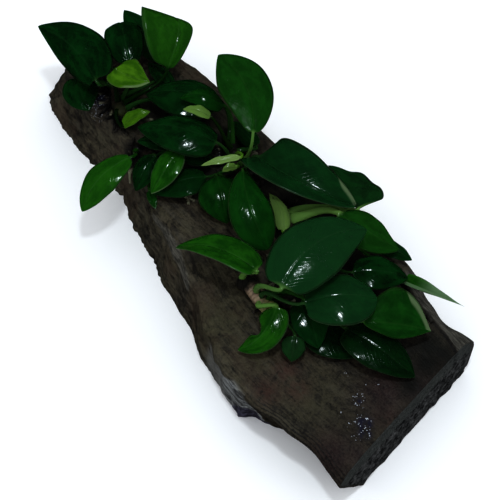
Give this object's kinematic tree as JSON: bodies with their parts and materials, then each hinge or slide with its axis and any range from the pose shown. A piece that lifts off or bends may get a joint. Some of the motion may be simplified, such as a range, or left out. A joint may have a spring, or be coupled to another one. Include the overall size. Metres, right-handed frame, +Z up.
{
  "type": "anubias on driftwood",
  "caption": "Slab of dark wet driftwood, sawn at one end, with broad-leaved anubias plants rooted on top.",
  "frame": {"origin": "on the flat underside of the driftwood, near its middle", "axes": "+X along the driftwood toward its sawn end, +Z up, -Y toward the worn bank"},
  "size_m": [0.3422, 0.1431, 0.0865],
  "materials": {
    "driftwood": "wet, very dark brown-grey weathered wood",
    "rhizome": "ringed olive-brown creeping stem, wet",
    "leaf_dark": "glossy dark green leaf",
    "leaf_mid": "glossy mid green leaf",
    "leaf_bright": "glossy bright green young leaf",
    "leaf_lime": "satin lime green new leaf or pale underside"
  },
  "bodies": {
    "root": {"driftwood": "driftwood", "plant1_rhizome": "rhizome", "plant2_rhizome": "rhizome", "plant3_rhizome": "rhizome", "plant4_rhizome": "rhizome", "plant5_rhizome": "rhizome", "plant1_leaf1": "leaf_dark", "plant1_leaf2": "leaf_dark", "plant1_leaf3": "leaf_dark", "plant1_leaf4": "leaf_dark", "plant1_leaf5": "leaf_bright", "plant1_leaf6": "leaf_lime", "plant1_leaf7": "leaf_lime", "plant1_leaf8": "leaf_dark", "plant2_leaf1": "leaf_bright", "plant2_leaf2": "leaf_dark", "plant2_leaf3": "leaf_bright", "plant2_leaf4": "leaf_mid", "plant2_leaf5": "leaf_dark", "plant3_leaf1": "leaf_dark", "plant3_leaf2": "leaf_mid", "plant3_leaf3": "leaf_lime", "plant3_leaf4": "leaf_dark", "plant3_leaf5": "leaf_dark", "plant3_leaf6": "leaf_mid", "plant3_leaf7": "leaf_mid", "plant3_leaf8": "leaf_dark", "plant3_leaf9": "leaf_dark", "plant3_leaf10": "leaf_mid", "plant3_leaf11": "leaf_lime", "plant3_leaf12": "leaf_lime", "plant3_leaf13": "leaf_dark", "plant4_leaf1": "leaf_dark", "plant4_leaf2": "leaf_lime", "plant4_leaf3": "leaf_mid", "plant4_leaf4": "leaf_dark", "plant4_leaf5": "leaf_dark", "plant4_leaf6": "leaf_bright", "plant5_leaf1": "leaf_dark", "plant5_leaf2": "leaf_bright", "plant5_leaf3": "leaf_mid", "plant5_leaf4": "leaf_dark", "plant5_leaf5": "leaf_dark", "plant5_leaf6": "leaf_dark", "plant5_leaf7": "leaf_dark", "plant5_leaf8": "leaf_dark", "plant5_leaf9": "leaf_bright"}
  },
  "joints": []
}
